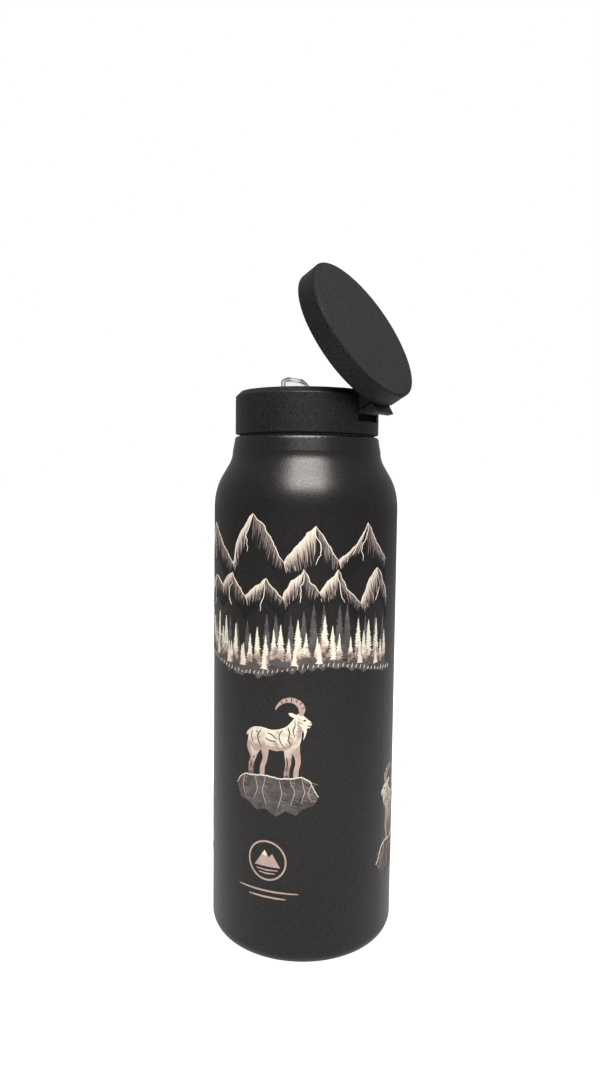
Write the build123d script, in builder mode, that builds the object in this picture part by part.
"""Insulated water bottle whose lid carries a hinged magnetic disc for a phone.

Millimetres. +Z is up, the origin is the centre of the foot, and the hinge is on the +X side
with its pin along Y. The disc is modelled closed and then swung open to its rest position.
"""
from build123d import *
import os

os.makedirs("parts", exist_ok=True)

# ---- driving dimensions: bottle ----
body_r = 39.0
foot_round = 5.4
wall_top = 181.4
neck_start = 205.35
neck_r_low = 31.4
lip_z = 211.5
lip_r = 30.56
lip_fall = 1.4
lip_arc_r = 1.5
shoulder_pull_low = 14.4
shoulder_pull_high = 7.4
shell_wall = 0.8
liner_r = 35.2
liner_wall = 0.6
liner_floor = 6.0
liner_corner = 9.0
liner_shoulder = 4.0
throat_drop = 3.0
mouth_r = 26.0
mouth_round_r = 0.4
foot_lift = 0.3
foot_recess = 2.2
pad_r = 28.0
pad_step = 0.2
plate_wall = 0.7
fit_gap = 0.05
touch_gap = 0.02

# ---- driving dimensions: screw thread ----
pitch = 4.0
turns = 1.3
ridge_h = 1.1
ridge_base = 1.6
ridge_crest = 0.9
female_z = 204.2
male_z = 203.4
plug_r = 24.6
plug_floor = 197.0

# ---- driving dimensions: lid ----
lid_gap = 1.0
lid_z = lip_z + lid_gap
lid_top = 230.3
lid_r = 30.3
lid_chamfer = 2.2
chamfer_round = 0.5
lid_bore_r = 26.5
deck_z = 217.5
deck_under = 215.0
notch_half = 8.0

# ---- driving dimensions: hinge and disc ----
hinge_x = 27.4
hinge_z = 223.4
pin_r = 1.0
pin_half = 9.9
run_gap = 0.05
disc_r = 31.5
disc_back = 230.5
disc_face = 238.9
disc_open = 60.66
knuckle_r = 3.3
arm_half = 7.7

# ---- driving dimensions: spout and straw ----
spout_x = -6.3
spout_z = 223.8
spout_r = 6.0
spout_top = 237.6
dome_r = 8.3
dome_shift = 1.2
tip_round = 1.0
barrel_half = 7.8
straw_r = 3.5
straw_wall = 0.55
straw_end = 14.0


def hinge_turn(shape, angle):
    """Turn a shape about the hinge pin; positive opens the disc."""
    return shape.rotate(Axis((hinge_x, 0, hinge_z), (0, 1, 0)), angle)


def save(part, name):
    """Label one finished piece and write its STEP file."""
    part.label = name
    export_step(part, "parts/" + name + ".step")


def helix_ridge(root_r, z, outward):
    """One helical thread ridge with a trapezoid section, standing out of (or into) a round wall."""
    side = 1 if outward else -1
    sink = 0.25
    with BuildPart() as ridge:
        with BuildLine() as path:
            Helix(pitch, pitch * turns, root_r, center=(0, 0, z))
        with BuildSketch(Plane(origin=path.line @ 0, x_dir=(side, 0, 0), z_dir=path.line % 0)):
            with BuildLine():
                Polyline(
                    (-sink, -ridge_base / 2),
                    (ridge_h, -ridge_crest / 2),
                    (ridge_h, ridge_crest / 2),
                    (-sink, ridge_base / 2),
                    close=True,
                )
            make_face()
        sweep(path=path.line, is_frenet=True)
    return ridge.part


def screws(places, head_r, head_h, shank_r, length, socket_r):
    """Identical flat-headed screws pointing down from their heads, each at (x, y, z of head top)."""
    with BuildPart() as group:
        for x, y, z in places:
            with Locations((x, y, z)):
                Cylinder(head_r, head_h, align=(Align.CENTER, Align.CENTER, Align.MAX))
            with Locations((x, y, z - head_h)):
                Cylinder(shank_r, length - head_h, align=(Align.CENTER, Align.CENTER, Align.MAX))
            with BuildSketch(Plane.XY.offset(z)):
                with Locations((x, y)):
                    RegularPolygon(socket_r, 6)
            extrude(amount=-head_h * 0.7, mode=Mode.SUBTRACT)
    return group.part


# ---- outer shell: straight wall, bezier shoulder, tapering neck, open foot ----
inner_trim_high = 0.3
inner_trim_low = 0.4
foot_step_w = 1.0
with BuildPart() as outer_shell:
    with BuildSketch(Plane.XZ):
        with BuildLine():
            foot_edge = Line((pad_r + pad_step, foot_lift), (body_r - foot_round, foot_lift))
            foot_arc = RadiusArc(foot_edge @ 1, (body_r, foot_lift + foot_round), -foot_round)
            wall = Line(foot_arc @ 1, (body_r, wall_top))
            shoulder = Bezier(
                wall @ 1,
                (body_r, wall_top + shoulder_pull_low),
                (neck_r_low, neck_start - shoulder_pull_high),
                (neck_r_low, neck_start),
            )
            neck = Line(shoulder @ 1, (lip_r, lip_z - lip_fall))
            lip = RadiusArc(neck @ 1, (lip_r - shell_wall, lip_z), -lip_arc_r)
            lip_inside = Line(lip @ 1, (lip_r - shell_wall, lip_z - lip_fall))
            neck_in = Line(lip_inside @ 1, (neck_r_low - shell_wall, neck_start))
            shoulder_in = Bezier(
                neck_in @ 1,
                (neck_r_low - shell_wall, neck_start - shoulder_pull_high - inner_trim_high),
                (body_r - shell_wall, wall_top + shoulder_pull_low - inner_trim_low),
                (body_r - shell_wall, wall_top),
            )
            wall_in = Line(shoulder_in @ 1, (body_r - shell_wall, foot_lift + foot_round))
            foot_in = RadiusArc(
                wall_in @ 1, (body_r - foot_round, foot_lift + shell_wall), foot_round - shell_wall
            )
            step_out = Line(foot_in @ 1, (pad_r + foot_step_w, foot_lift + shell_wall))
            step_up = Line(step_out @ 1, (pad_r + foot_step_w, foot_recess + shell_wall))
            step_top = Line(step_up @ 1, (pad_r + pad_step, foot_recess + shell_wall))
            step_down = Line(step_top @ 1, foot_edge @ 0)
        make_face()
    revolve(axis=Axis.Z)
save(outer_shell.part, "outer_shell")

# ---- inner liner: cup with its own shoulder, threaded mouth and a welded lip flange ----
neck_wall = 0.8
liner_out_r = liner_r + liner_wall
corner_z = liner_floor + liner_corner
side_top = wall_top - liner_shoulder
liner_pull_low = 9.0
liner_pull_high = 11.0
liner_in_pull_low = 8.8
liner_in_pull_high = 11.2
with BuildPart() as inner_liner:
    with BuildSketch(Plane.XZ):
        with BuildLine():
            floor_out = Line((0, liner_floor), (liner_out_r - liner_corner, liner_floor))
            corner_out = RadiusArc(floor_out @ 1, (liner_out_r, corner_z), -liner_corner)
            side_out = Line(corner_out @ 1, (liner_out_r, side_top))
            slope_out = Bezier(
                side_out @ 1,
                (liner_out_r, wall_top + liner_pull_low),
                (mouth_r + neck_wall, neck_start - liner_pull_high),
                (mouth_r + neck_wall, neck_start - throat_drop),
            )
            throat_out = Line(slope_out @ 1, (mouth_r + neck_wall, lip_z - shell_wall))
            flange_under = Line(throat_out @ 1, (lip_r - shell_wall, lip_z - shell_wall))
            flange_edge = Line(flange_under @ 1, (lip_r - shell_wall, lip_z))
            flange_top = Line(flange_edge @ 1, (mouth_r + mouth_round_r, lip_z))
            mouth_round = RadiusArc(flange_top @ 1, (mouth_r, lip_z - mouth_round_r), -mouth_round_r)
            throat_in = Line(mouth_round @ 1, (mouth_r, neck_start - throat_drop))
            slope_in = Bezier(
                throat_in @ 1,
                (mouth_r, neck_start - liner_in_pull_high),
                (liner_r, wall_top + liner_in_pull_low),
                (liner_r, side_top),
            )
            side_in = Line(slope_in @ 1, (liner_r, corner_z))
            corner_in = RadiusArc(
                side_in @ 1,
                (liner_out_r - liner_corner, liner_floor + liner_wall),
                liner_corner - liner_wall,
            )
            floor_in = Line(corner_in @ 1, (0, liner_floor + liner_wall))
            Line(floor_in @ 1, (0, liner_floor))
        make_face()
    revolve(axis=Axis.Z)
    add(helix_ridge(mouth_r, female_z, False))
save(inner_liner.part, "inner_liner")

# ---- base plate: recessed disc with a dimple that holds the vacuum seal ----
plate_r = pad_r + 0.15
dimple_rise = 1.0
pump_hole_r = 1.0
dimple_top_r = 5.0
dimple_foot_r = 6.5
dimple_step = 0.3
dimple_roof = foot_recess + dimple_rise + plate_wall
with BuildPart() as base_plate:
    with BuildSketch(Plane.XZ):
        with BuildLine():
            Polyline(
                (pump_hole_r, foot_recess + dimple_rise),
                (dimple_top_r, foot_recess + dimple_rise),
                (dimple_foot_r, foot_recess),
                (plate_r, foot_recess),
                (plate_r, foot_recess + plate_wall),
                (dimple_foot_r + dimple_step, foot_recess + plate_wall),
                (dimple_top_r + dimple_step, dimple_roof),
                (pump_hole_r, dimple_roof),
                close=True,
            )
        make_face()
    revolve(axis=Axis.Z)
save(base_plate.part, "base_plate")

# ---- vacuum seal bead: fills the pump-out hole in the dimple ----
bead_foot = 0.5
bead_edge = 0.75
bead_top = 1.5
with BuildPart() as seal_bead:
    with BuildSketch(Plane.XZ):
        with BuildLine():
            Polyline(
                (0, foot_recess + bead_foot),
                (2 * pump_hole_r, foot_recess + bead_edge),
                (2 * pump_hole_r, foot_recess + dimple_rise - touch_gap),
                (pump_hole_r - touch_gap, foot_recess + dimple_rise - touch_gap),
                (pump_hole_r - touch_gap, foot_recess + bead_top),
                (0, foot_recess + bead_top),
                close=True,
            )
        make_face()
    revolve(axis=Axis.Z)
save(seal_bead.part, "seal_bead")

# ---- getter: small pill on the liner's underside, inside the vacuum ----
getter_h = 1.2
getter_x = 14.0
getter_r = 5.0
getter_round = 0.4
with BuildPart() as getter:
    with BuildSketch(Plane.XY.offset(liner_floor - getter_h)):
        with Locations((getter_x, 0)):
            Circle(getter_r)
    extrude(amount=getter_h)
    fillet(getter.faces().sort_by(Axis.Z)[0].edges(), getter_round)
save(getter.part, "getter")

# ---- base pad: silicone disc that the bottle stands on ----
pad_groove_r = 23.0
pad_groove_w = 1.2
pad_groove_depth = 0.5
pad_bevel = 0.4
with BuildPart() as base_pad:
    Cylinder(pad_r, foot_recess - fit_gap, align=(Align.CENTER, Align.CENTER, Align.MIN))
    chamfer(base_pad.faces().sort_by(Axis.Z)[0].edges(), pad_bevel)
    with BuildSketch(Plane.XY):
        Circle(pad_groove_r)
        Circle(pad_groove_r - pad_groove_w, mode=Mode.SUBTRACT)
    extrude(amount=pad_groove_depth, mode=Mode.SUBTRACT)
save(base_pad.part, "base_pad")

# ---- neck seal: silicone ring between the lid and the bottle's lip ----
seal_r = 28.6
seal_gap = 0.03
seal_in_r = plug_r + 0.25
seal_bevel = 0.4
seal_low = 0.3
seal_high = 0.7
with BuildPart() as neck_seal:
    with BuildSketch(Plane.XZ):
        with BuildLine():
            Polyline(
                (seal_in_r, lip_z + seal_gap),
                (seal_r - seal_bevel, lip_z + seal_gap),
                (seal_r, lip_z + seal_low),
                (seal_r, lip_z + seal_high),
                (seal_r - seal_bevel, lid_z - seal_gap),
                (seal_in_r, lid_z - seal_gap),
                close=True,
            )
        make_face()
    revolve(axis=Axis.Z)
save(neck_seal.part, "neck_seal")

# ---- lid ring: outer wall of the lid, with the hinge notch and the pin's two bores ----
ring_step_r = 28.75
ring_step_z = deck_under + 0.5
edge_break = 0.3
notch_reach = 12
pick_gap = 0.1
pin_plane = Plane(origin=(hinge_x, -pin_half, hinge_z), x_dir=(1, 0, 0), z_dir=(0, 1, 0))
with BuildPart() as lid_ring:
    with BuildSketch(Plane.XZ):
        with BuildLine():
            Polyline(
                (ring_step_r, lid_z),
                (lid_r - edge_break, lid_z),
                (lid_r, lid_z + edge_break),
                (lid_r, lid_top - lid_chamfer),
                (lid_r - lid_chamfer, lid_top),
                (lid_bore_r + edge_break, lid_top),
                (lid_bore_r, lid_top - edge_break),
                (lid_bore_r, ring_step_z),
                (ring_step_r, ring_step_z),
                close=True,
            )
        make_face()
    revolve(axis=Axis.Z)
    chamfer_edges = lid_ring.edges().filter_by(GeomType.CIRCLE).filter_by(
        lambda edge: edge.radius > lid_r - lid_chamfer - pick_gap
    )
    rim_edges = chamfer_edges.filter_by(lambda edge: edge.center().Z > lid_top - lid_chamfer - pick_gap)
    fillet(rim_edges, chamfer_round)
    with BuildSketch(Plane.XY.offset(deck_z)):
        with Locations((hinge_x, 0)):
            Rectangle(notch_reach, 2 * notch_half)
    extrude(amount=lid_top - deck_z + 1, mode=Mode.SUBTRACT)
    with BuildSketch(pin_plane):
        Circle(pin_r)
    extrude(amount=2 * pin_half, mode=Mode.SUBTRACT)
save(lid_ring.part, "lid_ring")

# ---- places of the openings through the deck ----
vent_x = -6.3
vent_y = 17.0
vent_hole_r = 1.2
stem_r = 2.7
port_well = 5.0
screw_hole_r = 0.85
cradle_half = 11.6
cradle_screw_dx = 8.2
cradle_screw_y = 9.6
cradle_screw_spots = [
    (spout_x + x, y)
    for x in (-cradle_screw_dx, cradle_screw_dx)
    for y in (-cradle_screw_y, cradle_screw_y)
]

# ---- lid core: deck, seal flange and the threaded plug in one moulding ----
plug_in_r = plug_r - 2.0
core_step_r = ring_step_r - fit_gap
core_step_z = ring_step_z - fit_gap
deck_r = lid_bore_r - fit_gap
seat_r = 6.4
seat_depth = 1.0
plug_bevel = 0.4
stem_well_gap = 1.3
with BuildPart() as lid_core:
    with BuildSketch(Plane.XZ):
        with BuildLine():
            Polyline(
                (0, deck_under),
                (plug_in_r, deck_under),
                (plug_in_r, plug_floor),
                (plug_r - plug_bevel, plug_floor),
                (plug_r, plug_floor + plug_bevel),
                (plug_r, lid_z),
                (core_step_r, lid_z),
                (core_step_r, core_step_z),
                (deck_r, core_step_z),
                (deck_r, deck_z),
                (0, deck_z),
                close=True,
            )
        make_face()
    revolve(axis=Axis.Z)
    add(helix_ridge(plug_r, male_z + pitch / 2, True))
    with BuildSketch(Plane.XY.offset(deck_z)):
        with Locations((spout_x, 0)):
            Circle(seat_r)
    extrude(amount=-seat_depth, mode=Mode.SUBTRACT)
    with BuildSketch(Plane.XY.offset(deck_z)):
        with Locations((spout_x, 0)):
            Circle(stem_r + stem_well_gap)
        with Locations((vent_x, vent_y)):
            Circle(vent_hole_r)
        with Locations(*cradle_screw_spots):
            Circle(screw_hole_r)
    extrude(amount=-port_well, mode=Mode.SUBTRACT)
save(lid_core.part, "lid_core")

# ---- plug bottom: disc that closes the plug, with holes for the stem and the vent ----
plug_bottom_h = 1.8
vent_port_r = 1.5
with BuildPart() as plug_bottom:
    with BuildSketch(Plane.XY.offset(plug_floor)):
        Circle(plug_in_r - fit_gap)
        with Locations((spout_x, 0)):
            Circle(stem_r + fit_gap, mode=Mode.SUBTRACT)
        with Locations((vent_x, vent_y)):
            Circle(vent_port_r, mode=Mode.SUBTRACT)
    extrude(amount=plug_bottom_h)
save(plug_bottom.part, "plug_bottom")

# ---- lid foam: insulation sealed inside the plug ----
foam_gap = 0.2
foam_stem_gap = 3.2
foam_vent_r = 3.0
foam_top_gap = 0.3
with BuildPart() as lid_foam:
    with BuildSketch(Plane.XY.offset(plug_floor + plug_bottom_h + fit_gap)):
        Circle(plug_in_r - foam_gap)
        with Locations((spout_x, 0)):
            Circle(stem_r + foam_stem_gap, mode=Mode.SUBTRACT)
        with Locations((vent_x, vent_y)):
            Circle(foam_vent_r, mode=Mode.SUBTRACT)
    extrude(amount=deck_under - plug_floor - plug_bottom_h - foam_top_gap)
save(lid_foam.part, "lid_foam")

# ---- straw stem: tube from the spout's seat down through the plug, with a barbed end ----
stem_bore = 2.1
stem_foot = plug_floor - 9.0
stem_collar_r = stem_r + 2.6
stem_head_r = stem_r + 1.2
stem_collar_drop = 1.6
barb_in = 0.3
barb_h = 1.5
spout_axis = Axis((spout_x, 0, 0), (0, 0, 1))
with BuildPart() as straw_stem:
    with BuildSketch(Plane.XZ):
        with BuildLine():
            Polyline(
                (spout_x + stem_bore, stem_foot),
                (spout_x + stem_r - barb_in, stem_foot),
                (spout_x + stem_r, stem_foot + barb_h),
                (spout_x + stem_r, deck_under - stem_collar_drop),
                (spout_x + stem_collar_r, deck_under - stem_collar_drop),
                (spout_x + stem_collar_r, deck_under - touch_gap),
                (spout_x + stem_head_r, deck_under - touch_gap),
                (spout_x + stem_head_r, deck_z - seat_depth - touch_gap),
                (spout_x + stem_bore, deck_z - seat_depth - touch_gap),
                close=True,
            )
        make_face()
    revolve(axis=spout_axis)
save(straw_stem.part, "straw_stem")

# ---- stem ring: O-ring round the stem, over the plug's bottom disc ----
ring_offset = 0.65
ring_wire_r = 0.6
ring_rise = 2.5
with BuildPart() as stem_ring:
    with BuildSketch(Plane.XZ):
        with Locations((spout_x + stem_r + ring_offset, plug_floor + ring_rise)):
            Circle(ring_wire_r)
    revolve(axis=spout_axis)
save(stem_ring.part, "stem_ring")

# ---- straw: pushed onto the stem, slanted at its lower end ----
straw_slant = 5.0
straw_top_gap = 0.5
with BuildPart() as straw:
    with BuildSketch(Plane.XY.offset(straw_end)):
        with Locations((spout_x, 0)):
            Circle(straw_r)
            Circle(straw_r - straw_wall, mode=Mode.SUBTRACT)
    extrude(amount=plug_floor - straw_top_gap - straw_end)
    with BuildSketch(Plane.XZ):
        with BuildLine():
            Polyline(
                (spout_x - straw_r - 1, straw_end - 1),
                (spout_x + straw_r + 1, straw_end - 1),
                (spout_x + straw_r + 1, straw_end + straw_slant),
                close=True,
            )
        make_face()
    extrude(amount=straw_r + 1, both=True, mode=Mode.SUBTRACT)
save(straw.part, "straw")

# ---- vent valve: silicone umbrella valve in the deck ----
with BuildPart() as vent_valve:
    with BuildSketch(Plane.XZ):
        with BuildLine():
            Polyline(
                (0, deck_under - 1.4),
                (1.7, deck_under - 0.6),
                (1.7, deck_under - fit_gap),
                (vent_hole_r - fit_gap, deck_under - fit_gap),
                (vent_hole_r - fit_gap, deck_z + 0.03),
                (2.9, deck_z + 0.03),
                (2.9, deck_z + 0.3),
                (1.6, deck_z + 0.9),
                (0, deck_z + 1.0),
                close=True,
            )
        make_face()
    revolve(axis=Axis.Z)
save(vent_valve.part.translate((vent_x, vent_y, 0)), "vent_valve")

# ---- spout cradle: base frame with two cheeks that carry the spout's pins ----
cheek_in = barrel_half + 0.35
cheek_wall = 2.6
cradle_w = 21.0
cradle_corner = 3.0
cradle_slot = 20.0
cradle_slot_x = 3.5
cheek_out = cheek_in + cheek_wall
cheek_foot = 5.0
cheek_top_r = 3.4
cradle_h = 1.6
spout_pin_r = 1.2
with BuildPart() as spout_cradle:
    with BuildSketch(Plane.XY.offset(deck_z)):
        with Locations((spout_x, 0)):
            RectangleRounded(cradle_w, 2 * cradle_half, cradle_corner)
        with Locations((spout_x - cradle_slot_x, 0)):
            Rectangle(cradle_slot, 2 * cheek_in - 0.6, mode=Mode.SUBTRACT)
    extrude(amount=cradle_h)
    for cheek_front in (-cheek_out, cheek_in):
        with BuildSketch(Plane.XZ.offset(cheek_front)):
            with BuildLine():
                Polyline(
                    (spout_x - cheek_foot, deck_z + 1.0),
                    (spout_x + cheek_foot, deck_z + 1.0),
                    (spout_x + cheek_top_r, spout_z),
                    (spout_x - cheek_top_r, spout_z),
                    close=True,
                )
            make_face()
            with Locations((spout_x, spout_z)):
                Circle(cheek_top_r)
        extrude(amount=cheek_wall)
    with BuildSketch(Plane.XZ.offset(-cheek_out)):
        with Locations((spout_x, spout_z)):
            Circle(spout_pin_r)
    extrude(amount=2 * cheek_out, mode=Mode.SUBTRACT)
    with BuildSketch(Plane.XY.offset(deck_z + cradle_h)):
        with Locations(*cradle_screw_spots):
            Circle(screw_hole_r + 0.1)
    extrude(amount=-3.0, mode=Mode.SUBTRACT)
save(spout_cradle.part, "spout_cradle")

# ---- cradle screws: four small screws into the deck ----
screw_head_h = 0.88
screw_top = deck_z + cradle_h + screw_head_h + touch_gap
screw_places = [(x, y, screw_top) for x, y in cradle_screw_spots]
cradle_screws = screws(screw_places, 1.6, screw_head_h, screw_hole_r - 0.01, 3.4, 0.8)
save(cradle_screws, "cradle_screws")

# ---- spout pins: two short pins pressed in the cheeks ----
pin_socket = 2.4
pin_reach = pin_socket - 0.2
with BuildPart() as spout_pins:
    with BuildSketch(Plane.XZ.offset(-cheek_out + 0.2)):
        with Locations((spout_x, spout_z)):
            Circle(spout_pin_r)
    extrude(amount=cheek_out - 0.2 - barrel_half + pin_reach)
    mirror(about=Plane.XZ)
save(spout_pins.part, "spout_pins")

# ---- spout seat: silicone ring that seals against the spout's barrel ----
seat_in_r = 2.6
seat_out_r = seat_r - 0.2
with BuildPart() as spout_seat:
    with BuildSketch(Plane.XZ):
        with BuildLine():
            Polyline(
                (spout_x + seat_in_r, deck_z - seat_depth + touch_gap),
                (spout_x + seat_out_r, deck_z - seat_depth + touch_gap),
                (spout_x + seat_out_r, deck_z - 0.1),
                (spout_x + 4.6, deck_z + 0.1),
                (spout_x + seat_in_r, deck_z + 0.1),
                close=True,
            )
        make_face()
    revolve(axis=spout_axis)
save(spout_seat.part, "spout_seat")


# ---- spout: clear barrel and tube in one, hollow, with a domed tip that falls towards the hinge ----
tip_band_low = 5.0
tip_band_high = 0.5


def spout_body(outer_r, drop, bottom, edge_round):
    """Upright tube under a round dome that sits off its axis; drop lowers the tip for the inner chamber."""
    top = spout_top - drop
    dome_x = spout_x - dome_shift
    with BuildPart() as tube:
        with BuildSketch(Plane.XY.offset(bottom)):
            with Locations((spout_x, 0)):
                Circle(outer_r)
        extrude(amount=spout_top - bottom + 1)
        with BuildSketch(Plane.XZ):
            with BuildLine():
                base = Line((dome_x, bottom), (dome_x + dome_r, bottom))
                wall = Line(base @ 1, (dome_x + dome_r, top - dome_r))
                cap = RadiusArc(wall @ 1, (dome_x, top), -dome_r)
                Line(cap @ 1, base @ 0)
            make_face()
        revolve(axis=Axis((dome_x, 0, 0), (0, 0, 1)), mode=Mode.INTERSECT)
        if edge_round:
            tip_edges = tube.edges().filter_by(
                lambda edge: top - tip_band_low < edge.center().Z < top - tip_band_high
            )
            fillet(tip_edges, edge_round)
    return tube.part


mouth_hole_r = 3.1
port_r = 2.4
chamber_wall = 1.2
tip_wall = 1.1
barrel_trim = 0.1
chamber_rise = 1.5
mouth_hole_rise = 8
pin_bore_r = spout_pin_r + run_gap
with BuildPart() as spout:
    add(spout_body(spout_r, 0, spout_z, tip_round))
    with BuildSketch(Plane.XZ):
        with Locations((spout_x, spout_z)):
            Circle(spout_r - barrel_trim)
    extrude(amount=barrel_half, both=True)
    add(spout_body(spout_r - chamber_wall, tip_wall, spout_z + chamber_rise, 0), mode=Mode.SUBTRACT)
    with BuildSketch(Plane.XY.offset(spout_z - spout_r)):
        with Locations((spout_x, 0)):
            Circle(port_r)
    extrude(amount=spout_r + 2, mode=Mode.SUBTRACT)
    with BuildSketch(Plane.XY.offset(spout_z + mouth_hole_rise)):
        with Locations((spout_x, 0)):
            Circle(mouth_hole_r)
    extrude(amount=spout_top - spout_z, mode=Mode.SUBTRACT)
    for socket_mouth, inward in ((-barrel_half, pin_socket), (barrel_half, -pin_socket)):
        with BuildSketch(Plane.XZ.offset(socket_mouth)):
            with Locations((spout_x, spout_z)):
                Circle(pin_bore_r)
        extrude(amount=inward, mode=Mode.SUBTRACT)
save(spout.part, "spout")

# ---- hinge pin: pressed in the ring on both sides of the notch ----
with BuildPart() as hinge_pin:
    with BuildSketch(pin_plane):
        Circle(pin_r)
    extrude(amount=2 * pin_half)
save(hinge_pin.part, "hinge_pin")

# ---- disc shell: round tray that is open at the phone side, with a pocket for the spout ----
pocket_x = -5.6
pocket_r = 9.4
plate_z = 237.95
pad_z = 238.4
shell_top = disc_face - 0.25
tray_floor = disc_back + 1.6
tray_r = disc_r - 1.6
core_r = 20.5
arm_screw_x = 17.5
arm_screw_y = 4.6
arm_hole_r = 0.95
arm_hole_depth = 4.5
back_round = 0.7
rim_round = 0.3
rim_wall = 0.7
arm_screw_spots = [(arm_screw_x, -arm_screw_y), (arm_screw_x, arm_screw_y)]
with BuildPart() as disc_shell:
    with BuildSketch(Plane.XY.offset(disc_back)):
        Circle(disc_r)
    extrude(amount=shell_top - disc_back)
    fillet(disc_shell.edges().group_by(Axis.Z)[0], back_round)
    fillet(disc_shell.edges().group_by(Axis.Z)[-1], rim_round)
    with BuildSketch(Plane.XY.offset(plate_z)):
        Circle(disc_r - rim_wall)
    extrude(amount=2.0, mode=Mode.SUBTRACT)
    with BuildSketch(Plane.XY.offset(tray_floor)):
        Circle(tray_r)
        Circle(core_r, mode=Mode.SUBTRACT)
    extrude(amount=plate_z - tray_floor, mode=Mode.SUBTRACT)
    with BuildSketch(Plane.XY.offset(disc_back)):
        with Locations((pocket_x, 0)):
            Circle(pocket_r)
    extrude(amount=plate_z - disc_back, mode=Mode.SUBTRACT)
    with BuildSketch(Plane.XY.offset(disc_back)):
        with Locations(*arm_screw_spots):
            Circle(arm_hole_r)
    extrude(amount=arm_hole_depth, mode=Mode.SUBTRACT)
save(hinge_turn(disc_shell.part, disc_open), "disc_shell")

# ---- hinge arm: plate on the disc's back, knuckle round the pin, tab past the disc's edge ----
arm_x = 14.0
arm_plate = 2.0
arm_bevel = 0.6
arm_bend_x = 22.2
tab_tip_x = 6.1
tab_tip_z = 4.6
tab_end_x = 6.9
slot_x = 30.0
slot_w = 0.8
slot_h = 4.4
slot_depth = 1.2
bush_r = pin_r + 0.79
arm_screw_r = 0.94
arm_head_r = 1.9
arm_head_h = 0.83
arm_head_z = disc_back - arm_plate + 0.1
with BuildPart() as hinge_arm:
    with BuildSketch(Plane.XZ.offset(-arm_half)):
        with BuildLine():
            Polyline(
                (arm_x, disc_back),
                (arm_x, disc_back - arm_plate + arm_bevel),
                (arm_x + arm_bevel, disc_back - arm_plate),
                (arm_bend_x, disc_back - arm_plate),
                (hinge_x - knuckle_r + 0.3, hinge_z + 1.2),
                (hinge_x, hinge_z - 1.0),
                (hinge_x + knuckle_r - 0.2, hinge_z + 1.0),
                (hinge_x + 3.5, hinge_z + 3.0),
                (hinge_x + tab_tip_x, hinge_z + tab_tip_z),
                (hinge_x + tab_end_x, disc_back),
                close=True,
            )
        make_face()
        with Locations((hinge_x, hinge_z)):
            Circle(knuckle_r)
    extrude(amount=2 * arm_half)
    for arm_side, inward in ((-arm_half, slot_depth), (arm_half, -slot_depth)):
        with BuildSketch(Plane.XZ.offset(arm_side)):
            with Locations((slot_x, disc_back - slot_h / 2)):
                Rectangle(slot_w, slot_h)
        extrude(amount=inward, mode=Mode.SUBTRACT)
    with BuildSketch(Plane.XZ.offset(-arm_half)):
        with Locations((hinge_x, hinge_z)):
            Circle(bush_r + 0.01)
    extrude(amount=2 * arm_half, mode=Mode.SUBTRACT)
    with BuildSketch(Plane.XY.offset(disc_back - arm_plate)):
        with Locations(*arm_screw_spots):
            Circle(arm_screw_r + 0.11)
    extrude(amount=arm_plate, mode=Mode.SUBTRACT)
    with BuildSketch(Plane.XY.offset(disc_back - arm_plate)):
        with Locations(*arm_screw_spots):
            Circle(arm_head_r + fit_gap)
    extrude(amount=arm_head_h + 0.12, mode=Mode.SUBTRACT)
save(hinge_turn(hinge_arm.part, disc_open), "hinge_arm")

# ---- arm screws: two screws that hold the arm to the disc, heads towards the deck ----
arm_socket_r = 0.9
arm_socket_depth = 0.6
arm_shank_h = 5.0
with BuildPart() as arm_screws:
    with BuildSketch(Plane.XY.offset(arm_head_z)):
        with Locations(*arm_screw_spots):
            Circle(arm_head_r)
    extrude(amount=arm_head_h)
    with BuildSketch(Plane.XY.offset(arm_head_z)):
        with Locations(*arm_screw_spots):
            RegularPolygon(arm_socket_r, 6)
    extrude(amount=arm_socket_depth, mode=Mode.SUBTRACT)
    with BuildSketch(Plane.XY.offset(arm_head_z + arm_head_h - 0.03)):
        with Locations(*arm_screw_spots):
            Circle(arm_screw_r)
    extrude(amount=arm_shank_h)
save(hinge_turn(arm_screws.part, disc_open), "arm_screws")

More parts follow.
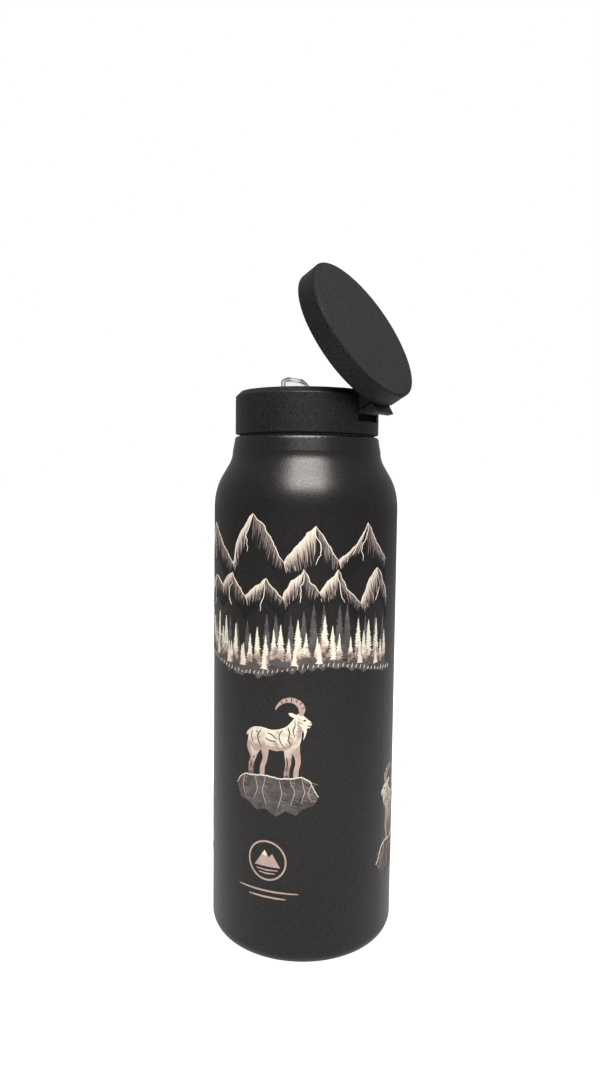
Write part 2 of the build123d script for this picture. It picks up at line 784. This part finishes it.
# ---- friction bushes: two split sleeves that grip the pin and hold the disc at any angle ----
bush_inset = 0.3
bush_len = 6.0
bush_split_w = 0.5
bush_split_h = 1.4
with BuildPart() as friction_bushes:
    with BuildSketch(Plane.XZ.offset(-arm_half + bush_inset)):
        with Locations((hinge_x, hinge_z)):
            Circle(bush_r)
            Circle(pin_r + touch_gap, mode=Mode.SUBTRACT)
        with Locations((hinge_x, hinge_z + pin_r + 0.5)):
            Rectangle(bush_split_w, bush_split_h, mode=Mode.SUBTRACT)
    extrude(amount=bush_len)
    mirror(about=Plane.XZ)
save(hinge_turn(friction_bushes.part, disc_open), "friction_bushes")

# ---- magnets: ring of equal arc segments under the face, on a steel backing ring ----
magnet_count = 16
magnet_in = 23.0
magnet_out = 28.0
magnet_gap = 0.6
magnet_h = 2.6
backing_h = 0.8
magnet_edge = 0.5
with BuildPart() as magnet_segments:
    with BuildSketch(Plane.XY.offset(plate_z - fit_gap)):
        Circle(magnet_out)
        Circle(magnet_in, mode=Mode.SUBTRACT)
        with PolarLocations((magnet_in + magnet_out) / 2, magnet_count):
            Rectangle(magnet_out - magnet_in + 1, magnet_gap, mode=Mode.SUBTRACT)
    extrude(amount=-magnet_h)
save(hinge_turn(magnet_segments.part, disc_open), "magnet_segments")

with BuildPart() as backing_ring:
    with BuildSketch(Plane.XY.offset(plate_z - 0.1 - magnet_h)):
        Circle(magnet_out + magnet_edge)
        Circle(magnet_in - magnet_edge, mode=Mode.SUBTRACT)
    extrude(amount=-backing_h)
save(hinge_turn(backing_ring.part, disc_open), "backing_ring")

# ---- magnet carrier: plastic ring that lifts the backing ring off the tray's floor ----
with BuildPart() as magnet_carrier:
    with BuildSketch(Plane.XY.offset(tray_floor + touch_gap)):
        Circle(tray_r - 0.1)
        Circle(core_r + 0.1, mode=Mode.SUBTRACT)
    extrude(amount=plate_z - magnet_h - backing_h - 0.15 - tray_floor)
save(hinge_turn(magnet_carrier.part, disc_open), "magnet_carrier")

# ---- face plate and face pad: thin steel cover and the silicone skin that the phone meets ----
with BuildPart() as face_plate:
    with BuildSketch(Plane.XY.offset(plate_z)):
        Circle(disc_r - 0.75)
    extrude(amount=pad_z - plate_z)
save(hinge_turn(face_plate.part, disc_open), "face_plate")

with BuildPart() as face_pad:
    with BuildSketch(Plane.XY.offset(pad_z)):
        Circle(disc_r - 0.8)
    extrude(amount=disc_face - pad_z)
    chamfer(face_pad.faces().sort_by(Axis.Z)[-1].edges(), 0.15)
save(hinge_turn(face_pad.part, disc_open), "face_pad")
